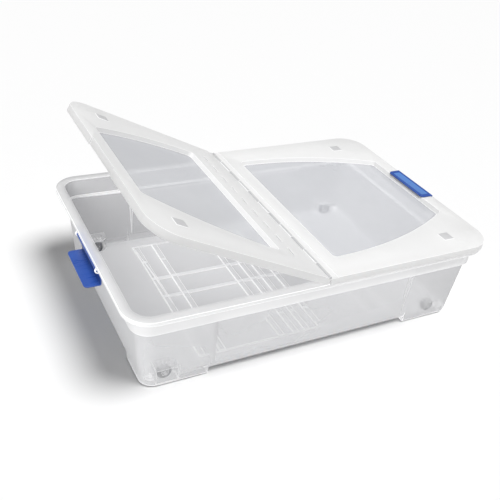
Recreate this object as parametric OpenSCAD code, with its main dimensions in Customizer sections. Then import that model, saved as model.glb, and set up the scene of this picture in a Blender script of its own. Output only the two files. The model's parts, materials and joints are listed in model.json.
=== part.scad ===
// Under bed box. A low tub on four rollers, with a lid in two halves that share one hinge rod,
// and a clip latch at each end. X runs along the box, Y across it and Z up. The origin is on the
// floor under the middle of the box. Sizes are in millimetres.

/* [Overall] */
// Length of the closed lid, end to end
lid_l = 720; // [600:1:880]
// Width of the lid, side to side
lid_w = 490; // [400:1:600]
// Height of the closed lid's flat top above the floor
lid_z = 174; // [140:1:230]
// Angle at which the left half of the lid stands open
open_angle = 26; // [0:1:80]

/* [Lid] */
// Thickness of the lid's frame and skirt
lid_t = 2; // [1.5:0.1:3]
// Corner radius of the lid
lid_r = 50; // [40:1:70]
// Height of the lid's skirt
skirt_h = 13.7; // [10:0.1:20]
// How far the lid's edge stands out past the tub's rim
lid_lap = 2.5; // [1:0.1:5]
// Gap between the skirt's lower edge and the rim, with the lid closed
seat_gap = 0.3; // [0.2:0.1:1]
// How far the locating rib reaches down into the tub
locate_h = 8; // [4:0.5:14]
// Gap between the locating rib and the inside of the tub
locate_gap = 1; // [0.6:0.1:2]
// Depth of the sunk window panels
window_depth = 8; // [4:0.5:9]
// Thickness of the window panels
window_t = 1.6; // [1.2:0.1:2.5]
// Run of the sloping wall around each window
window_slope = 4; // [2:0.5:6]
// Distance from the lid's long edge to the window at its widest
window_side = 55; // [45:1:70]
// Distance from the lid's end to the window
window_end = 26; // [25:0.5:40]
// Radius of the windows' long bowed edges
window_bow = 620; // [500:5:900]
// Radius of the windows' corners
window_r = 9; // [5:1:15]
// Distance from the hinge to the window in the right half
window_start_right = 40; // [35:1:60]
// Distance from the hinge to the window in the left half
window_start_left = 81; // [75:1:100]
// Side of the plain square pad near each outer corner
pad_size = 22; // [14:1:30]
// Distance from the hinge to the middle of each pad
pad_x = 288; // [240:1:300]
// Distance from the lid's long edge to the middle of each pad
pad_y = 49; // [35:1:60]

/* [Hinge] */
// Where the hinge line lies, from the middle of the box
hinge_x = -8; // [-40:1:40]
// Radius of the hinge rod
rod_r = 1.5; // [1:0.1:2]
// Radius of the knuckles
knuckle_r = 3; // [2.6:0.1:4]
// Number of knuckles, both halves together
knuckle_n = 11; // [7:2:15]
// Gap between neighbouring knuckles
knuckle_gap = 0.4; // [0.3:0.1:1]
// Running clearance around the hinge rod
rod_gap = 0.05; // [0.02:0.01:0.1]
// How far the lowered strip beside the hinge reaches
leaf_l = 14; // [12:1:20]
// Length of the slots beside the left window
slot_l = 24; // [12:1:30]
// Width of those slots
slot_w = 4; // [2:0.5:6]
// Spacing of those slots
slot_pitch = 45; // [40:1:60]
// Number of those slots
slot_n = 9; // [3:2:9]

/* [Tub] */
// Wall thickness of the tub
wall_t = 2.5; // [2:0.1:3]
// Width of the rim's flange outside the wall
flange_w = 14.5; // [12:0.5:18]
// Height of the lip under the flange's outer edge
lip_h = 7; // [4:0.5:10]
// Height of the straight band under the rim
band_h = 38; // [34:1:50]
// How far the wall steps in at the stacking ledge
ledge_in = 6; // [4:0.5:8]
// How far each end wall leans in from the ledge to the foot
end_draft = 12; // [4:0.5:16]
// How far each long wall leans in from the ledge to the foot
side_draft = 4.5; // [2:0.5:8]
// Corner radius of the tub at its foot
base_r = 26; // [22:1:40]
// Radius of the tub's bottom edge between the feet
belly_r = 20; // [12:1:24]
// Height of the tub's underside between the feet
belly_z = 4; // [3.5:0.5:8]
// How far the wall between the feet is set in at the ledge
panel_in = 4; // [2:0.5:4]
// Length of the sloping end of that set-in wall
panel_run = 12; // [6:1:20]
// Height of the ribs on the floor
rib_h = 1.5; // [1:0.5:3]
// Width of the flat ribs that run across the floor
rib_w = 11; // [6:1:14]
// Width of the flat ribs that run along the floor
rib_row_w = 8; // [4:1:12]
// Spacing of the ribs that run along the floor
rib_row_pitch = 60; // [50:1:75]
// Half length of the ribs that run across the floor
rib_reach = 181; // [140:1:184]

/* [Feet and rollers] */
// Height of the feet above the floor
foot_z = 2; // [1:0.5:3.5]
// Length of each foot along the long wall
foot_l = 117; // [90:1:140]
// Length of each foot along the end wall
foot_w = 80; // [60:1:110]
// Radius of the feet's bottom edge
foot_r = 3; // [2:0.5:6]
// Roller radius
wheel_r = 13; // [11:0.5:15]
// Roller width
wheel_w = 9; // [6:0.5:11]
// Distance of the roller's axle from the outside of the end wall
wheel_in_x = 44; // [38:1:60]
// Distance of the roller's middle from the outside of the long wall
wheel_in_y = 20; // [17:0.5:24]
// Radius of the roller's axle
axle_r = 2; // [1.5:0.1:3]
// Running clearance of the roller on its axle
axle_gap = 0.08; // [0.03:0.01:0.1]
// Thickness of the roller bracket's cheeks
cheek_t = 2.2; // [1.8:0.1:3]
// Gap between the roller and each cheek
cheek_gap = 0.4; // [0.3:0.1:1]

/* [Latches] */
// Width of each latch
latch_w = 116; // [80:1:150]
// Thickness of the latches
latch_t = 2.5; // [2:0.1:3]
// How far the latch's hook reaches over from its outer face
hook_l = 30; // [22:1:34]
// Gap between the hook and the lid
hook_gap = 0.6; // [0.5:0.1:1]
// Gap between the latch's leg and the rim
leg_gap = 0.5; // [0.3:0.1:1]
// Radius of the latch's barrel
barrel_r = 3.5; // [3:0.1:4.5]
// Radius of the latch's trunnions
trunnion_r = 2.5; // [1.5:0.1:2.8]
// Running clearance of the trunnions
trunnion_gap = 0.06; // [0.03:0.01:0.1]
// Depth of the latch's pivot below the top of the rim
pivot_drop = 18; // [16:0.5:22]
// Thickness of the lugs that hold the trunnions
lug_t = 4; // [3:0.5:6]
// Angle between the closed latch and the hanging latch
latch_swing = 180; // [150:1:180]

/* [Hidden] */

clear = [0.93, 0.94, 0.95, 0.55];
blue = [0.10, 0.28, 0.68];
roller_grey = [0.35, 0.42, 0.58];
steel = [0.75, 0.76, 0.78];

// Facets: exact curves, and the slices inside hulls
fine = 96;
slice_fn = 48;
bow_fn = 360;
eps = 1;
level_t = 0.01;
corner_min = 2;

// Heights
rim_z = lid_z - skirt_h - seat_gap;
ledge_z = rim_z - band_h;
frame_z = lid_z - lid_t;
floor_z = belly_z + wall_t;

// Half sizes in plan: the lid, the rim, the band, and the wall below the ledge
half_l = lid_l / 2;
half_w = lid_w / 2;
rim_x = half_l - lid_lap;
rim_y = half_w - lid_lap;
rim_r = lid_r - lid_lap;
band_x = rim_x - flange_w;
band_y = rim_y - flange_w;
band_r = rim_r - flange_w;
wall_x = band_x - ledge_in;
wall_y = band_y - ledge_in;
wall_r = band_r - ledge_in;
foot_x = wall_x - end_draft;
foot_y = wall_y - side_draft;
foot_start_x = foot_x - foot_l;
foot_start_y = foot_y - foot_w;

// Hinge
axis_drop = 1;
axis_z = lid_z - axis_drop;
leaf_lap = 3;
end_gap = 1;
span = lid_w - 2 * lid_t - 2 * end_gap;
pitch = span / knuckle_n;
split_gap = 0.5;
slot_in = 30;
slot_x = window_start_left - slot_in;
window_mid = 45;
pad_h = 0.6;

// Floor ribs: distances from the middle of the box, and the thin ribs that close their ends
rib_lines = [-202, -162, -42, -12, 12, 42, 162, 202];
rib_end_w = 3;

// Rollers
wheel_x = foot_x - wheel_in_x;
wheel_y = foot_y - wheel_in_y;
cheek_y = wheel_w / 2 + cheek_gap;
bracket_l = 22;
bracket_top_t = 2.4;
wheel_top_gap = 1.5;
bracket_top_z = 2 * wheel_r + wheel_top_gap;
well_gap = 0.3;
roof_z = bracket_top_z + bracket_top_t + well_gap;
roof_t = wall_t;
peg_r = 3;
peg_gap = 0.05;
peg_proud = 1.2;
well_end_gap = 6;
well_x = wheel_r + well_end_gap;
well_cut = 9.5;
well_side_gap = 1.5;
well_in = cheek_y + cheek_t + well_side_gap;
pod_t = 2;
pod_join = 1;
pod_z = foot_z + 1;
hub_r = 5;
web_t = 4;
tread_t = 3;
tread_edge = 1;
cheek_r = 6;
axle_hold = 0.02;

// Latches
pivot_in = 5;
pivot_x = rim_x - pivot_in;
pivot_z = rim_z - pivot_drop;
leg_in = rim_x + leg_gap - pivot_x;
leg_out = leg_in + latch_t;
hook_z = lid_z + hook_gap - pivot_z;
lug_gap = 1;
lug_wall = 2.5;
lug_foot = 4;
lug_reach = 3;
notch_in = half_l - rim_x;
notch_w = latch_w + 4;
latch_bend = 3.5;
hook_corner = 8;
latch_border = 6;
latch_sink = 0.6;

function side_of(i) = (i % 2 == 0) ? -1 : 1;
function end_of(i) = (i < 2) ? -1 : 1;

// Rounded rectangle, centred, from its half sizes
module round_rect(x, y, r) {
    square([2 * (x - r), 2 * y], center = true);
    square([2 * x, 2 * (y - r)], center = true);
    for (sx = [-1, 1], sy = [-1, 1])
        translate([sx * (x - r), sy * (y - r)])
            circle(r, $fn = fine);
}

// Four thin corner discs that mark one level of the tub's lower wall, drawn in by inset
module wall_level(z, inset) {
    down = (ledge_z - z) / (ledge_z - foot_z);
    r = max(wall_r + (base_r - wall_r) * down - inset, corner_min);
    x = wall_x - end_draft * down - inset;
    y = wall_y - side_draft * down - inset;
    for (sx = [-1, 1], sy = [-1, 1])
        translate([sx * (x - r), sy * (y - r), z])
            cylinder(level_t, r, r, $fn = slice_fn);
}

// Drafted lower wall as a solid, with a rounded bottom edge of radius edge_r at height low
module wall_solid(inset, low, edge_r) {
    hull() {
        wall_level(ledge_z + eps, inset);
        for (a = [0 : 15 : 90])
            wall_level(low + edge_r * (1 - cos(a)), inset + edge_r * (1 - sin(a)));
    }
}

// Upright prism that sets one long wall in between the feet; grow moves its face inwards
module wall_panel(grow) {
    half = foot_start_x + grow;
    face = wall_y - panel_in - grow;
    for (sy = [-1, 1])
        scale([1, sy, 1])
            translate([0, 0, -eps])
                linear_extrude(ledge_z + eps - grow)
                    polygon([
                        [-half, wall_y + eps],
                        [-half + panel_run, face],
                        [half - panel_run, face],
                        [half, wall_y + eps]
                    ]);
}

// Hollow of the tub below the ledge
module cavity() {
    difference() {
        wall_solid(wall_t, floor_z, belly_r - wall_t);
        wall_panel(wall_t);
    }
}

// Corner boxes that hold the feet
module foot_boxes(grow) {
    for (sx = [-1, 1], sy = [-1, 1])
        scale([sx, sy, 1])
            translate([foot_start_x + grow, foot_start_y + grow, 0])
                cube([foot_l + end_draft, foot_w + side_draft, belly_z + belly_r + eps]);
}

// Skirts of the four feet, open underneath
module feet() {
    difference() {
        intersection() {
            wall_solid(0, foot_z, foot_r);
            foot_boxes(0);
        }
        intersection() {
            wall_solid(wall_t, foot_z - 2 * eps, eps);
            foot_boxes(wall_t);
        }
    }
}

// Rim: band, flange and lip, and the stacking ledge below the band
module rim() {
    translate([0, 0, ledge_z])
        linear_extrude(band_h)
            difference() {
                round_rect(band_x, band_y, band_r);
                round_rect(band_x - wall_t, band_y - wall_t, band_r - wall_t);
            }
    translate([0, 0, ledge_z])
        linear_extrude(wall_t)
            difference() {
                round_rect(band_x, band_y, band_r);
                round_rect(wall_x - wall_t, wall_y - wall_t, wall_r - wall_t);
            }
    translate([0, 0, rim_z - wall_t])
        linear_extrude(wall_t)
            difference() {
                round_rect(rim_x, rim_y, rim_r);
                round_rect(band_x - wall_t, band_y - wall_t, band_r - wall_t);
            }
    translate([0, 0, rim_z - lip_h])
        linear_extrude(lip_h)
            difference() {
                round_rect(rim_x, rim_y, rim_r);
                round_rect(rim_x - wall_t, rim_y - wall_t, rim_r - wall_t);
            }
}

// One roller housing, a box with a chamfered inner corner, from z = low up to high
module housing(x, y_in, y_out, low, high) {
    translate([0, 0, low])
        linear_extrude(high - low)
            polygon([
                [-x + well_cut, -y_in],
                [x, -y_in],
                [x, y_out],
                [-x, y_out],
                [-x, -y_in + well_cut]
            ]);
}

// Places its child at each roller, turned so that the child's +X and +Y point outwards
module at_rollers() {
    for (sx = [-1, 1], sy = [-1, 1])
        scale([sx, sy, 1])
            translate([wheel_x, wheel_y, 0])
                children();
}

// Flat ribs on the floor: pairs across the box, rows along it, and the thin ribs at their ends
module floor_ribs() {
    half = rib_lines[len(rib_lines) - 1] + rib_w / 2;
    for (x = rib_lines)
        translate([x - rib_w / 2, -rib_reach, floor_z - eps])
            cube([rib_w, 2 * rib_reach, rib_h + eps]);
    for (i = [-1 : 1])
        translate([-half, i * rib_row_pitch - rib_row_w / 2, floor_z - eps])
            cube([2 * half, rib_row_w, rib_h + eps]);
    for (y = [-rib_reach, rib_reach - rib_end_w])
        translate([-half, y, floor_z - eps])
            cube([2 * half, rib_end_w, rib_h + eps]);
}

// Lugs under the flange at both ends, which hold the latches' trunnions
module latch_lugs() {
    low = pivot_z - trunnion_r - lug_foot;
    top_h = rim_z - wall_t + eps - pivot_z;
    for (sx = [-1, 1], sy = [-1, 1])
        translate([0, sy * (latch_w / 2 + lug_gap + lug_t / 2), 0])
            rotate([90, 0, 0])
                linear_extrude(lug_t, center = true)
                    scale([sx, 1, 1])
                        union() {
                            translate([pivot_x, pivot_z])
                                circle(trunnion_r + lug_wall, $fn = fine);
                            translate([band_x - eps, pivot_z])
                                square([pivot_x - band_x + eps + lug_reach, top_h]);
                            translate([band_x - eps, low + eps])
                                square([pivot_x - band_x + eps, pivot_z - low]);
                        }
}

module tub() {
    color(clear)
        difference() {
            union() {
                difference() {
                    union() {
                        difference() {
                            wall_solid(0, belly_z, belly_r);
                            wall_panel(0);
                        }
                        feet();
                    }
                    cavity();
                }
                rim();
                floor_ribs();
                latch_lugs();
                at_rollers()
                    housing(well_x + pod_t, well_in + pod_t, wheel_in_y - pod_join, pod_z, roof_z + roof_t);
            }
            at_rollers() {
                housing(well_x, well_in, wheel_in_y - 2 * pod_t, -eps, roof_z);
                cylinder(roof_z + roof_t + eps, peg_r + peg_gap, peg_r + peg_gap, $fn = fine);
            }
            for (sx = [-1, 1])
                translate([sx * pivot_x, 0, pivot_z])
                    rotate([90, 0, 0])
                        cylinder(latch_w + 4 * lug_t, trunnion_r + trunnion_gap, trunnion_r + trunnion_gap,
                                 center = true, $fn = fine);
        }
}

// Outline of one lid half, from the hinge line at x = start out to its rounded end, drawn in by inset
module half_outline(len, start, inset) {
    x = len - inset;
    y = half_w - inset;
    r = lid_r - inset;
    difference() {
        union() {
            translate([start, -y])
                square([x - r - start, 2 * y]);
            translate([start, -(y - r)])
                square([x - start, 2 * (y - r)]);
            for (sy = [-1, 1])
                translate([x - r, sy * (y - r)])
                    circle(r, $fn = fine);
        }
        translate([x - notch_in, -notch_w / 2 - inset])
            square([notch_in + eps, notch_w + 2 * inset]);
    }
}

// Outline of a window, from start to the lid's end, drawn in by inset
module window_outline(len, start, inset) {
    half = half_w - window_side;
    r = window_r;
    offset(r, $fn = slice_fn)
        offset(delta = -r - inset)
            intersection() {
                translate([start, -half])
                    square([len - window_end - start, 2 * half]);
                translate([window_mid, window_bow - half])
                    circle(window_bow, $fn = bow_fn);
                translate([window_mid, half - window_bow])
                    circle(window_bow, $fn = bow_fn);
            }
}

// Dish of a window: its outline at the top, drawn in by the slope at height low
module dish(len, start, low, high, grow) {
    hull() {
        translate([0, 0, high])
            linear_extrude(level_t)
                window_outline(len, start, -grow);
        translate([0, 0, low])
            linear_extrude(level_t)
                window_outline(len, start, window_slope - grow);
    }
}

// Places its children at the knuckles of one half, 0 or 1
module at_knuckles(parity) {
    for (i = [parity : 2 : knuckle_n - 1])
        translate([0, (i - (knuckle_n - 1) / 2) * pitch, axis_z])
            children();
}

// One lid half, closed, with its hinge line on x = 0 and its end towards +X
module half_lid(len, window_start, parity, slots) {
    width = pitch - knuckle_gap;
    rib_in = lid_lap + flange_w + wall_t + locate_gap;
    rib_x = leaf_l + leaf_lap;
    leaf_start = knuckle_r + knuckle_gap;
    difference() {
        union() {
            translate([0, 0, frame_z])
                linear_extrude(lid_t)
                    half_outline(len, leaf_l, 0);
            translate([0, 0, rim_z + seat_gap])
                linear_extrude(axis_z - rim_z - seat_gap)
                    difference() {
                        half_outline(len, split_gap, 0);
                        half_outline(len, -eps, lid_t);
                    }
            translate([0, 0, rim_z - locate_h])
                linear_extrude(frame_z - rim_z + locate_h + eps)
                    difference() {
                        half_outline(len, rib_x, rib_in);
                        half_outline(len, rib_x - eps, rib_in + lid_t);
                    }
            translate([leaf_l, -span / 2, frame_z - window_depth])
                cube([lid_t, span, window_depth + eps]);
            translate([leaf_start, -span / 2, axis_z - lid_t])
                cube([rib_x - leaf_start, span, lid_t]);
            dish(len, window_start, lid_z - window_depth - window_t, frame_z, lid_t);
            at_knuckles(parity) {
                rotate([90, 0, 0])
                    cylinder(width, knuckle_r, knuckle_r, center = true, $fn = fine);
                translate([0, -width / 2, -lid_t])
                    cube([leaf_l, width, lid_t]);
            }
            for (sy = [-1, 1])
                translate([pad_x - pad_size / 2, sy * (half_w - pad_y) - pad_size / 2, lid_z - eps])
                    cube([pad_size, pad_size, eps + pad_h]);
        }
        dish(len, window_start, lid_z - window_depth, lid_z, 0);
        at_knuckles(1 - parity)
            translate([-knuckle_r, -pitch / 2 - knuckle_gap / 2, -knuckle_r - eps])
                cube([2 * knuckle_r + knuckle_gap, pitch + knuckle_gap, 2 * knuckle_r + 2 * eps]);
        translate([0, 0, axis_z])
            rotate([90, 0, 0])
                cylinder(lid_w, rod_r + rod_gap, rod_r + rod_gap, center = true, $fn = fine);
        if (slots)
            for (i = [0 : slot_n - 1])
                translate([slot_x, (i - (slot_n - 1) / 2) * slot_pitch, frame_z])
                    cube([slot_w, slot_l, 3 * lid_t], center = true);
    }
}

module lid_right() {
    color(clear)
        translate([hinge_x, 0, 0])
            half_lid(half_l - hinge_x, window_start_right, 0, false);
}

module lid_left() {
    color(clear)
        translate([hinge_x, 0, axis_z])
            rotate([0, open_angle, 0])
                translate([0, 0, -axis_z])
                    scale([-1, 1, 1])
                        half_lid(half_l + hinge_x, window_start_left, 1, true);
}

module hinge_rod() {
    color(steel)
        translate([hinge_x, 0, axis_z])
            rotate([90, 0, 0])
                cylinder(span, rod_r, rod_r, center = true, $fn = fine);
}

// Section of a closed latch at the +X end, with its pivot at the origin, and with z drawn as y
module latch_section() {
    circle(barrel_r, $fn = fine);
    translate([0, -barrel_r])
        square([leg_out, barrel_r]);
    translate([leg_in, -barrel_r])
        square([latch_t, barrel_r + hook_z + latch_t - latch_bend]);
    translate([leg_out - hook_l, hook_z])
        square([hook_l - latch_bend, latch_t]);
    translate([leg_out - latch_bend, hook_z + latch_t - latch_bend])
        intersection() {
            difference() {
                circle(latch_bend, $fn = fine);
                circle(latch_bend - latch_t, $fn = fine);
            }
            square(latch_bend);
        }
}

// One latch, closed, at the +X end, with its pivot axis on the origin
module latch() {
    sink_x = leg_out - hook_l + latch_border;
    sink_y = latch_w / 2 - hook_corner;
    difference() {
        union() {
            rotate([90, 0, 0])
                linear_extrude(latch_w, center = true)
                    latch_section();
            rotate([90, 0, 0])
                cylinder(latch_w + 2 * (lug_gap + lug_t), trunnion_r, trunnion_r, center = true, $fn = fine);
        }
        for (sy = [-1, 1])
            scale([1, sy, 1])
                translate([leg_out - hook_l - eps, latch_w / 2 - hook_corner, hook_z - eps])
                    difference() {
                        cube([hook_corner + eps, hook_corner + eps, latch_t + 2 * eps]);
                        translate([hook_corner + eps, 0, 0])
                            cylinder(latch_t + 2 * eps, hook_corner, hook_corner, $fn = fine);
                    }
        translate([sink_x, -sink_y, hook_z + latch_t - latch_sink])
            cube([hook_l - 2 * latch_border, 2 * sink_y, latch_sink + eps]);
    }
}

module latch_right() {
    color(blue)
        translate([pivot_x, 0, pivot_z])
            latch();
}

module latch_left() {
    color(blue)
        translate([-pivot_x, 0, pivot_z])
            rotate([0, -latch_swing, 0])
                scale([-1, 1, 1])
                    latch();
}

// One roller, with its axle along Y on the origin
module wheel() {
    color(roller_grey)
        rotate([90, 0, 0])
            rotate_extrude($fn = fine)
                polygon([
                    [axle_r + axle_gap, -wheel_w / 2],
                    [hub_r, -wheel_w / 2],
                    [hub_r, -web_t / 2],
                    [wheel_r - tread_t, -web_t / 2],
                    [wheel_r - tread_t, -wheel_w / 2],
                    [wheel_r - tread_edge, -wheel_w / 2],
                    [wheel_r, -wheel_w / 2 + tread_edge],
                    [wheel_r, wheel_w / 2 - tread_edge],
                    [wheel_r - tread_edge, wheel_w / 2],
                    [wheel_r - tread_t, wheel_w / 2],
                    [wheel_r - tread_t, web_t / 2],
                    [hub_r, web_t / 2],
                    [hub_r, wheel_w / 2],
                    [axle_r + axle_gap, wheel_w / 2]
                ]);
}

// One axle, along Y, long enough to fill both cheeks of its bracket
module wheel_axle() {
    color(steel)
        rotate([90, 0, 0])
            cylinder(2 * (cheek_y + cheek_t), axle_r, axle_r, center = true, $fn = fine);
}

// One roller bracket: two cheeks, a top plate and the peg that holds it in the foot's roof
module wheel_bracket() {
    color(clear)
        difference() {
            union() {
                for (sy = [-1, 1])
                    translate([0, sy * (cheek_y + cheek_t / 2), 0])
                        rotate([90, 0, 0])
                            linear_extrude(cheek_t, center = true) {
                                circle(cheek_r, $fn = fine);
                                translate([-cheek_r, 0])
                                    square([2 * cheek_r, bracket_top_z - wheel_r + eps]);
                            }
                translate([-bracket_l / 2, -cheek_y - cheek_t, bracket_top_z - wheel_r])
                    cube([bracket_l, 2 * (cheek_y + cheek_t), bracket_top_t]);
                translate([0, 0, bracket_top_z - wheel_r])
                    cylinder(roof_z + roof_t + peg_proud - bracket_top_z, peg_r, peg_r, $fn = fine);
            }
            rotate([90, 0, 0])
                cylinder(4 * cheek_y, axle_r + axle_hold, axle_r + axle_hold, center = true, $fn = fine);
        }
}

// Places its child at roller i, from 0 to 3
module at_roller(i) {
    translate([end_of(i) * wheel_x, side_of(i) * wheel_y, wheel_r])
        children();
}

tub();
lid_left();
lid_right();
hinge_rod();
latch_left();
latch_right();
at_roller(0) wheel();  // wheel_1
at_roller(1) wheel();  // wheel_2
at_roller(2) wheel();  // wheel_3
at_roller(3) wheel();  // wheel_4
at_roller(0) wheel_axle();  // wheel_axle_1
at_roller(1) wheel_axle();  // wheel_axle_2
at_roller(2) wheel_axle();  // wheel_axle_3
at_roller(3) wheel_axle();  // wheel_axle_4
at_roller(0) wheel_bracket();  // wheel_bracket_1
at_roller(1) wheel_bracket();  // wheel_bracket_2
at_roller(2) wheel_bracket();  // wheel_bracket_3
at_roller(3) wheel_bracket();  // wheel_bracket_4
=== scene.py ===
import json
from math import cos, radians, sin

import bpy
from mathutils import Matrix, Vector

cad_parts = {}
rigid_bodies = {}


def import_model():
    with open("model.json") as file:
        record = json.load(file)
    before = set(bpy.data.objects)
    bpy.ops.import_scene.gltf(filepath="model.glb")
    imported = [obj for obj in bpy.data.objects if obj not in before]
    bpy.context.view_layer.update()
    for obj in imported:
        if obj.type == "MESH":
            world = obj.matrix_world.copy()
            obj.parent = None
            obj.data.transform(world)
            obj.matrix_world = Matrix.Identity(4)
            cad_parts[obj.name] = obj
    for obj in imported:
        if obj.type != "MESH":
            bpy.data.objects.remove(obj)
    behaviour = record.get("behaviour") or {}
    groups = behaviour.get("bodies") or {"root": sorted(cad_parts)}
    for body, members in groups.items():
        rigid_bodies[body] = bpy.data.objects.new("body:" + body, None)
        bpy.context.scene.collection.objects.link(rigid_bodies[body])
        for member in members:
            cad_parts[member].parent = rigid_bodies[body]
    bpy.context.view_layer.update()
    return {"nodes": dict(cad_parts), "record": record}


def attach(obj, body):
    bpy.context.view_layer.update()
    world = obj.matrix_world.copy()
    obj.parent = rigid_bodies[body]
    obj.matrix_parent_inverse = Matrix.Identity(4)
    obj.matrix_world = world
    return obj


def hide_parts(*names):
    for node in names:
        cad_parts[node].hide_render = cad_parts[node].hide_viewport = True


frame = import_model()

mm = 0.001
bodyOf = {node: body for body, nodes in frame["record"]["behaviour"]["bodies"].items() for node in nodes}
slotOf = {part["node"]: part["material_slot"] for part in frame["record"]["subparts"]}


def deselectAll():
    for thing in bpy.context.view_layer.objects:
        thing.select_set(False)


def makeActive(thing):
    deselectAll()
    thing.select_set(True)
    bpy.context.view_layer.objects.active = thing


def applyModifiers(thing):
    makeActive(thing)
    for modifier in list(thing.modifiers):
        bpy.ops.object.modifier_apply(modifier=modifier.name)


def smoothByAngle(thing, degrees):
    makeActive(thing)
    bpy.ops.object.shade_smooth_by_angle(angle=radians(degrees))


def newGroup(name, inputs, outputs):
    group = bpy.data.node_groups.new(name, "ShaderNodeTree")
    for label, kind, value in inputs:
        socket = group.interface.new_socket(name=label, in_out="INPUT", socket_type=kind)
        socket.default_value = value
    for label, kind in outputs:
        group.interface.new_socket(name=label, in_out="OUTPUT", socket_type=kind)
    return group, group.nodes.new("NodeGroupInput"), group.nodes.new("NodeGroupOutput")


def mathNode(tree, operation, first, second):
    node = tree.nodes.new("ShaderNodeMath")
    node.operation = operation
    for socket, value in zip(node.inputs, (first, second)):
        if isinstance(value, (int, float)):
            socket.default_value = value
        else:
            tree.links.new(value, socket)
    return node.outputs[0]


def mixColour(tree, factor, first, second):
    node = tree.nodes.new("ShaderNodeMix")
    node.data_type = "RGBA"
    for socket, value in zip((node.inputs[0], node.inputs[6], node.inputs[7]), (factor, first, second)):
        if isinstance(value, (int, float, tuple)):
            socket.default_value = value
        else:
            tree.links.new(value, socket)
    return node.outputs[2]


def spread(tree, value, low, high):  # maps 0..1 to low..high
    node = tree.nodes.new("ShaderNodeMapRange")
    for socket, given in zip(node.inputs[:5], (value, 0.0, 1.0, low, high)):
        if isinstance(given, (int, float)):
            socket.default_value = given
        else:
            tree.links.new(given, socket)
    return node.outputs[0]


def noise(tree, coordinates, scale, detail):
    node = tree.nodes.new("ShaderNodeTexNoise")
    node.inputs["Detail"].default_value = detail
    tree.links.new(coordinates, node.inputs["Vector"])
    if isinstance(scale, (int, float)):
        node.inputs["Scale"].default_value = scale
    else:
        tree.links.new(scale, node.inputs["Scale"])
    return node.outputs["Fac"]


scuffShape = {"stretch": (3.0, 60.0, 20.0), "scale": 8.0, "detail": 4.0, "low": -1.2, "high": 1.8}


def mouldedGroup():  # cloudy flow of the melt, fine mould texture and rub marks
    group, given, result = newGroup("mouldedSkin", [
        ("Flow scale", "NodeSocketFloat", 6.0),
        ("Grain scale", "NodeSocketFloat", 900.0),
        ("Rough low", "NodeSocketFloat", 0.3),
        ("Rough high", "NodeSocketFloat", 0.45),
        ("Scuffs", "NodeSocketFloat", 0.2),
    ], [("Flow", "NodeSocketFloat"), ("Roughness", "NodeSocketFloat"), ("Height", "NodeSocketFloat")])
    place = group.nodes.new("ShaderNodeTexCoord").outputs["Object"]
    flow = noise(group, place, given.outputs["Flow scale"], 3.0)
    grain = noise(group, place, given.outputs["Grain scale"], 1.0)
    stretch = group.nodes.new("ShaderNodeMapping")
    stretch.inputs["Scale"].default_value = scuffShape["stretch"]
    group.links.new(place, stretch.inputs["Vector"])
    rubbed = noise(group, stretch.outputs[0], scuffShape["scale"], scuffShape["detail"])
    marks = spread(group, rubbed, scuffShape["low"], scuffShape["high"])
    marks = mathNode(group, "MULTIPLY", marks, given.outputs["Scuffs"])
    rough = spread(group, flow, given.outputs["Rough low"], given.outputs["Rough high"])
    group.links.new(flow, result.inputs["Flow"])
    group.links.new(mathNode(group, "ADD", rough, marks), result.inputs["Roughness"])
    group.links.new(grain, result.inputs["Height"])
    return group


mouldedSkin = mouldedGroup()
plasticIor = 1.49


def newMaterial(name):
    material = bpy.data.materials.new(name)
    material.use_nodes = True
    tree = material.node_tree
    return material, tree, tree.nodes["Principled BSDF"]


def addSkin(tree, shader, look):
    skin = tree.nodes.new("ShaderNodeGroup")
    skin.node_tree = mouldedSkin
    for label in ("Flow scale", "Grain scale", "Rough low", "Rough high", "Scuffs"):
        skin.inputs[label].default_value = look[label]
    bump = tree.nodes.new("ShaderNodeBump")
    bump.inputs["Strength"].default_value = look["Bump"]
    bump.inputs["Distance"].default_value = look["Bump depth"]
    tree.links.new(skin.outputs["Height"], bump.inputs["Height"])
    tree.links.new(bump.outputs["Normal"], shader.inputs["Normal"])
    tree.links.new(skin.outputs["Roughness"], shader.inputs["Roughness"])
    return skin


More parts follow.
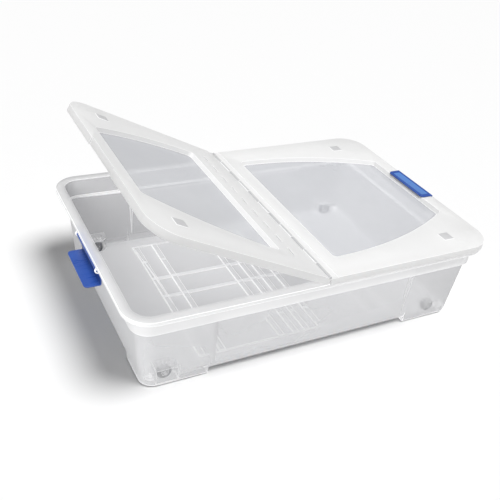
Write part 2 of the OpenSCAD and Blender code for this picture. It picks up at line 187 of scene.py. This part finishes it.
def clearPlastic(name, look):  # translucent polypropylene, milkier where it is seen at a slant
    material, tree, shader = newMaterial(name)
    skin = addSkin(tree, shader, look)
    colour = mixColour(tree, skin.outputs["Flow"], look["dark"], look["light"])
    shader.inputs["IOR"].default_value = plasticIor
    slant = tree.nodes.new("ShaderNodeLayerWeight")
    slant.inputs["Blend"].default_value = look["slant"]
    body = spread(tree, skin.outputs["Flow"], look["thin"] - look["cloud"], look["thin"] + look["cloud"])
    if "row pitch" in look:  # the rows along the floor are thicker, and the ribs' edges get light-coloured lines, a painted highlight of light gathering there, drawn thicker too
        across = tree.nodes.new("ShaderNodeSeparateXYZ")
        tree.links.new(tree.nodes.new("ShaderNodeTexCoord").outputs["Object"], across.inputs[0])
        offset = mathNode(tree, "PINGPONG", across.outputs["Y"], look["row pitch"] / 2)
        inRow = mathNode(tree, "MULTIPLY", mathNode(tree, "LESS_THAN", offset, look["row half"]),
                         mathNode(tree, "GREATER_THAN", across.outputs["Z"], look["row low"]))
        aside = mathNode(tree, "ABSOLUTE", across.outputs["X"], 0.0)
        paintedRibHighlight = 0.0
        for edge in look["rib edges"]:
            line = mathNode(tree, "COMPARE", aside, edge)
            line.node.inputs[2].default_value = look["line half"]
            paintedRibHighlight = mathNode(tree, "ADD", line, paintedRibHighlight)
        paintedRibHighlight = mathNode(tree, "MULTIPLY", paintedRibHighlight, mathNode(
            tree, "LESS_THAN", mathNode(tree, "ABSOLUTE", across.outputs["Y"], 0.0), look["rib reach"]))
        above = mathNode(tree, "GREATER_THAN", across.outputs["Z"], look["rib low"])
        paintedRibHighlight = mathNode(tree, "MULTIPLY", paintedRibHighlight, above)
        colour = mixColour(tree, paintedRibHighlight, colour, look["line"])
        thicker = mathNode(tree, "MAXIMUM", inRow, paintedRibHighlight)
        body = mathNode(tree, "ADD", body, mathNode(tree, "MULTIPLY", thicker, look["row milk"]))
    tree.links.new(colour, shader.inputs["Base Color"])
    milk = mathNode(tree, "MULTIPLY", slant.outputs["Facing"], look["edge"])
    alpha = mathNode(tree, "MINIMUM", mathNode(tree, "ADD", body, milk), 1.0)
    shadow = tree.nodes.new("ShaderNodeLightPath").outputs["Is Shadow Ray"]  # shadows denser than the wall
    density = mathNode(tree, "ADD", 1.0, mathNode(tree, "MULTIPLY", shadow, look["shade"]))
    tree.links.new(mathNode(tree, "MULTIPLY", alpha, density), shader.inputs["Alpha"])
    return material


tubLook = {
    "dark": (0.76, 0.765, 0.775, 1), "light": (0.84, 0.84, 0.85, 1),
    "thin": 0.22, "cloud": 0.03, "edge": 0.2, "slant": 0.4, "shade": 1.9,
    "Flow scale": 5.0, "Grain scale": 700.0, "Rough low": 0.30, "Rough high": 0.42,
    "Scuffs": 0.05, "Bump": 0.15, "Bump depth": 0.0003,
}
# the rim colour is milkier plastic and, being lighter only on outward faces, also painted light
rimLook = dict(tubLook, thin=0.38, dark=(0.85, 0.85, 0.855, 1), light=(0.91, 0.91, 0.91, 1))
baseLook = dict(tubLook, thin=0.5)
baseLook.update({
    "row pitch": 0.060, "row half": 0.004, "row low": 0.0075, "row milk": 0.4,
    "rib reach": 0.181, "rib low": 0.006,
    "rib edges": (0.0065, 0.0175, 0.0365, 0.0475, 0.1565, 0.1675, 0.1965, 0.2075), "line half": 0.0012,
    # line is the colour of the painted highlight along the ribs' edges
    "line": (0.97, 0.97, 0.97, 1),
})
lidLook = dict(tubLook, shade=0.8, thin=0.6, dark=(0.89, 0.89, 0.89, 1), light=(0.93, 0.93, 0.925, 1))
padLook = dict(lidLook, dark=(0.62, 0.62, 0.63, 1), light=(0.68, 0.68, 0.69, 1))
windowLook = dict(tubLook, shade=0.5, thin=0.24, dark=(0.70, 0.715, 0.75, 1), light=(0.76, 0.77, 0.80, 1))
# the edge finish is milkier, as the thicker plastic at edges is, and lighter in colour as a painted
# highlight
edgeLook = dict(tubLook, thin=0.75, dark=(0.95, 0.95, 0.955, 1), light=(0.98, 0.98, 0.985, 1))
# one blue plastic in two copies: the body blue is darkened as painted shade, and the sunk panel's lighter
# blue is painted light
blueLook = {
    "dark": (0.018, 0.055, 0.27, 1), "light": (0.035, 0.10, 0.38, 1),
    "Flow scale": 30.0, "Grain scale": 1500.0,
    "Rough low": 0.22, "Rough high": 0.34, "Scuffs": 0.08, "Bump": 0.1, "Bump depth": 0.0002,
}
latchLitTopLook = dict(blueLook, dark=(0.07, 0.17, 0.46, 1), light=(0.10, 0.23, 0.54, 1))
rollerLook = dict(blueLook, dark=(0.006, 0.010, 0.022, 1), light=(0.015, 0.024, 0.05, 1))


def solidPlastic(name, look):
    material, tree, shader = newMaterial(name)
    skin = addSkin(tree, shader, look)
    colour = mixColour(tree, skin.outputs["Flow"], look["dark"], look["light"])
    tree.links.new(colour, shader.inputs["Base Color"])
    shader.inputs["IOR"].default_value = plasticIor
    return material


steelLook = {"dark": (0.5, 0.51, 0.53, 1), "light": (0.62, 0.63, 0.65, 1), "rough": (0.25, 0.4),
             "streak scale": 400.0, "streak detail": 2.0}


def drawnSteel():
    material, tree, shader = newMaterial("drawnSteel")
    shader.inputs["Metallic"].default_value = 1.0
    place = tree.nodes.new("ShaderNodeTexCoord").outputs["Object"]
    streak = noise(tree, place, steelLook["streak scale"], steelLook["streak detail"])
    tree.links.new(spread(tree, streak, *steelLook["rough"]), shader.inputs["Roughness"])
    colour = mixColour(tree, streak, steelLook["dark"], steelLook["light"])
    tree.links.new(colour, shader.inputs["Base Color"])
    return material


finish = {
    "tub_plastic": clearPlastic("tubPlastic", tubLook),
    "lid_plastic": clearPlastic("lidPlastic", lidLook),
    "rim": clearPlastic("rimPlastic", rimLook),
    "window": clearPlastic("windowPlastic", windowLook),
    "base": clearPlastic("basePlastic", baseLook),
    "pad": clearPlastic("padPlastic", padLook),
    "pod": clearPlastic("podPlastic", dict(tubLook, thin=0.10)),
    "edge": clearPlastic("edgePlastic", edgeLook),
    "latch_plastic": solidPlastic("latchPlastic", blueLook),
    "panel": solidPlastic("panelPlastic", latchLitTopLook),
    "roller_plastic": solidPlastic("rollerPlastic", rollerLook),
    "bracket_plastic": clearPlastic("bracketPlastic", dict(edgeLook, thin=0.16)),
    "rod_steel": drawnSteel(),
}
print("materials ready")


mesher = {"weld": 0.00004, "flat": 1, "square": 179, "smooth": 35}  # metres, then degrees


def mouldedCopy(name, node, finishes, width, segments=2, sharp=32):  # the CAD shape with rounded edges
    source = frame["nodes"][node]
    thing = bpy.data.objects.new(name, source.data.copy())
    bpy.context.scene.collection.objects.link(thing)
    thing.data.materials.clear()
    for material in finishes:
        thing.data.materials.append(material)
    makeActive(thing)
    bpy.ops.mesh.customdata_custom_splitnormals_clear()
    bpy.ops.object.mode_set(mode="EDIT")
    bpy.ops.mesh.select_all(action="SELECT")
    bpy.ops.mesh.remove_doubles(threshold=mesher["weld"])
    bpy.ops.mesh.tris_convert_to_quads(
        face_threshold=radians(mesher["flat"]), shape_threshold=radians(mesher["square"]))
    bpy.ops.object.mode_set(mode="OBJECT")
    rounding = thing.modifiers.new("rounding", "BEVEL")
    rounding.width = width
    rounding.segments = segments
    rounding.limit_method = "ANGLE"
    rounding.angle_limit = radians(sharp)
    rounding.use_clamp_overlap = False
    rounding.miter_outer = "MITER_SHARP"
    rounding.material = len(finishes) - 1  # the last finish goes on the rounded edges; where that is the bright edge finish it is a painted highlight
    applyModifiers(thing)
    smoothByAngle(thing, mesher["smooth"])
    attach(thing, bodyOf[node])
    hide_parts(node)
    print(name, len(thing.data.polygons), "faces")
    return thing


def paintFaces(thing, index, test):  # gives the faces that pass a test on place and normal another finish
    for face in thing.data.polygons:
        if face.material_index == 0 and test(face.center, face.normal):
            face.material_index = index


plainWall = (0.012, 0.118)  # between these heights the wall has no thin ribs or ends


def paintNarrowHighlight(thing, width, height):  # painted highlight: faces of thin ribs and of the ends of walls get the last, bright finish, where light gathers
    for face in thing.data.polygons:
        if plainWall[0] < face.center.z < plainWall[1]:
            continue
        places = [thing.data.vertices[i].co for i in face.vertices]
        longest = max((a - b).length for a, b in zip(places, places[1:] + places[:1]))
        rise = max(place.z for place in places) - min(place.z for place in places)
        if face.area < width * longest and rise < height:
            face.material_index = len(thing.data.materials) - 1


tubParts = {"edge": 0.7 * mm, "rib width": 2.7 * mm, "rib height": 6 * mm, "ledge": 0.122, "base": 0.009,
            "outward": -0.01, "level": 0.9}
tubFinishes = [finish[label] for label in ("tub_plastic", "rim", "base", "pod", "edge")]
tub = mouldedCopy("tubShell", "tub", tubFinishes, tubParts["edge"])
paintNarrowHighlight(tub, tubParts["rib width"], tubParts["rib height"])
podLow, podHigh = (0.258, 0.186, 0.0), (0.304, 0.2145, 0.034)  # the four roller housings
# the band and lip above the ledge get the lighter rim colour only where they face outward, painted light,
# while their inner faces keep the darker tub colour as painted shade
paintFaces(tub, 1, lambda place, normal: (
    place.z > tubParts["ledge"] and place.xy.dot(normal.xy) > tubParts["outward"]))
paintFaces(tub, 3, lambda place, normal: all(
    low < abs(at) < high for low, at, high in zip(podLow, place, podHigh)))
paintFaces(tub, 2, lambda place, normal: place.z < tubParts["base"] and abs(normal.z) > tubParts["level"])
print("tub painted")

lidOpen = {"lid_right": 0, "lid_left": 26}  # degrees from closed
lidParts = {"edge": 0.5 * mm, "pad low": 0.1741, "window low": 0.1665, "window half": 0.2,
            "window start": 0.035, "window end": 0.335, "level": 0.9}
hinge = Vector((-0.008, 0, 0.173))
lidFinishes = [finish[label] for label in ("lid_plastic", "window", "pad", "edge")]
for node, openAngle in lidOpen.items():
    lid = mouldedCopy(node.replace("_", "") + "Shell", node, lidFinishes, lidParts["edge"])
    level = Matrix.Rotation(radians(-openAngle), 4, "Y")

    def inWindow(place, normal):
        flat = level @ (place - hinge) + hinge
        return (flat.z < lidParts["window low"] and abs(flat.y) < lidParts["window half"]
                and abs(flat.x - hinge.x) > lidParts["window start"] and abs(flat.x) < lidParts["window end"]
                and abs((level @ normal).z) > lidParts["level"])

    paintFaces(lid, 1, inWindow)
    paintFaces(lid, 2, lambda place, normal: (level @ (place - hinge) + hinge).z > lidParts["pad low"])

clipParts = {"edge": 0.6 * mm, "panel high": 0.0004, "panel low": 0.0008, "level": 0.9}  # the panel is sunk, and it is painted a lighter blue than the body as painted light
for node, side in (("latch_left", -1), ("latch_right", 1)):
    clip = mouldedCopy(node.replace("_", "") + "Clip", node,
                       [finish["latch_plastic"], finish["panel"], finish["latch_plastic"]],
                       clipParts["edge"], segments=3)
    top = max(vertex.co.z * side for vertex in clip.data.vertices)
    # painted light: the faces of the sunk panel, on the right latch its top, get the lighter blue
    paintFaces(clip, 1, lambda place, normal: (
        clipParts["panel high"] < top - place.z * side < clipParts["panel low"]
        and normal.z * side > clipParts["level"]))

rollerParts = {"tyre edge": 0.3 * mm, "fork edge": 0.4 * mm}
for number in "1234":
    mouldedCopy("rollerTyre" + number, "wheel_" + number,
                [finish["roller_plastic"], finish["roller_plastic"]], rollerParts["tyre edge"])
    mouldedCopy("rollerFork" + number, "wheel_bracket_" + number,
                [finish["bracket_plastic"], finish["edge"]], rollerParts["fork edge"])
print("lids, clips and rollers ready")

for node, thing in frame["nodes"].items():
    thing.data.materials.clear()
    thing.data.materials.append(finish[slotOf[node]])

cameraPlace = {
    "azimuth": -30.47, "elevation": 33.01, "roll": 7.18, "distance": 1.38178,
    "aim": (-0.0259, 0.0031, 0.0773), "lens": 50, "sensor": 36,
}


def addCamera(given):
    a, e = radians(given["azimuth"]), radians(given["elevation"])
    back = Vector((sin(a) * cos(e), -cos(a) * cos(e), sin(e)))
    right = Vector((cos(a), sin(a), 0))
    turn = Matrix((right, back.cross(right), back)).transposed().to_4x4()
    camera = bpy.data.objects.new("camera", bpy.data.cameras.new("camera"))
    bpy.context.scene.collection.objects.link(camera)
    camera.data.lens = given["lens"]
    camera.data.sensor_width = given["sensor"]
    place = Matrix.Translation(Vector(given["aim"]) + given["distance"] * back)
    camera.matrix_world = place @ turn @ Matrix.Rotation(radians(given["roll"]), 4, "Z")
    bpy.context.scene.camera = camera


addCamera(cameraPlace)

lamps = {
    "floorKey": {"from": (0.32, -0.25, 1), "softness": 32, "power": 2.9, "lights": "floor", "shade": "tub"},
    "lidSoft": {"from": (-0.2, 0, 1), "softness": 30, "power": 2.5, "lights": "lids", "shade": "lids"},
    "lidFront": {"from": (-0.1, -0.8, 0.8), "softness": 50, "power": 1.7, "lights": "lids", "shade": "lids"},
    "tubSoft": {"from": (-0.5, 0.1, 1), "softness": 30, "power": 1.45, "lights": "tub"},
    "tubFront": {"at": (-1.9, -2.3, 1.5), "size": 1.8, "power": 118, "lights": "tub", "shade": "all"},
}
# behind is the grey of the painted glow on the floor seen through the walls
studio = {"light": 0.22, "seen": 1.0, "seen through": 0.55, "floor size": 30, "floor": (0.93, 0.93, 0.93, 1),
          "behind": (0.42, 0.42, 0.43, 1), "rough": 0.8, "shine": 0.2, "clear layers": 32}

world = bpy.data.worlds.new("studio")
bpy.context.scene.world = world
world.use_nodes = True
surround = world.node_tree.nodes["Background"]
surround.inputs["Color"].default_value = (1, 1, 1, 1)
path = world.node_tree.nodes.new("ShaderNodeLightPath")
# painted shade: the backdrop seen through the walls is dimmed to the seen through strength
behind = mathNode(world.node_tree, "GREATER_THAN", path.outputs["Transparent Depth"], 0.5)
seen = spread(world.node_tree, behind, studio["seen"], studio["seen through"])
strength = spread(world.node_tree, path.outputs["Is Camera Ray"], studio["light"], seen)
world.node_tree.links.new(strength, surround.inputs["Strength"])

deselectAll()
bpy.ops.mesh.primitive_plane_add(size=studio["floor size"], location=(0, 0, 0))
floor = bpy.context.object
floor.name = "floor"
floorMaterial, floorTree, floorShader = newMaterial("paleFloor")
floorShader.inputs["Base Color"].default_value = studio["floor"]
depth = floorTree.nodes.new("ShaderNodeLightPath").outputs["Transparent Depth"]
paintedGreyGlow = floorTree.nodes.new("ShaderNodeEmission")  # painted glow: the floor seen through the milky walls glows an even grey in place of its own lit and shadowed shading
paintedGreyGlow.inputs["Color"].default_value = studio["behind"]
either = floorTree.nodes.new("ShaderNodeMixShader")
floorTree.links.new(mathNode(floorTree, "GREATER_THAN", depth, 0.5), either.inputs[0])
floorTree.links.new(floorShader.outputs[0], either.inputs[1])
floorTree.links.new(paintedGreyGlow.outputs[0], either.inputs[2])
floorTree.links.new(either.outputs[0], floorTree.nodes["Material Output"].inputs["Surface"])
floorShader.inputs["Roughness"].default_value = studio["rough"]
floorShader.inputs["Specular IOR Level"].default_value = studio["shine"]
floor.data.materials.append(floorMaterial)


def newSet(name, things):
    group = bpy.data.collections.new(name)
    for thing in things:
        group.objects.link(thing)
    return group


pieces = [thing for thing in bpy.context.scene.objects if thing.type == "MESH" and thing != floor]
upper = [thing for thing in pieces if "lid" in thing.name or "latch" in thing.name]
lower = [thing for thing in pieces if thing not in upper]
lit = {"floor": newSet("litFloor", [floor]), "all": newSet("shadeAll", pieces),
       "tub": newSet("litTub", lower), "lids": newSet("litLids", upper)}


def addLamp(name, given):  # a far soft light, or a soft box that stands at a place
    kind = "AREA" if "at" in given else "SUN"
    lamp = bpy.data.objects.new(name, bpy.data.lights.new(name, kind))
    lamp.data.energy = given["power"]
    if kind == "SUN":
        lamp.data.angle = radians(given["softness"])
    else:
        lamp.data.size = given["size"]
        lamp.location = given["at"]
    lamp.rotation_euler = Vector(given.get("from", given.get("at"))).to_track_quat("Z", "Y").to_euler()
    lamp.light_linking.receiver_collection = lit[given["lights"]]
    if "shade" in given:
        lamp.light_linking.blocker_collection = lit[given["shade"]]
    lamp.data.use_shadow = given["lights"] == "floor" or "shade" in given
    bpy.context.scene.collection.objects.link(lamp)


for lampName, lampGiven in lamps.items():
    addLamp(lampName, lampGiven)
print("studio ready")

scene = bpy.context.scene
scene.view_settings.view_transform = "Standard"
scene.cycles.transparent_max_bounces = studio["clear layers"]
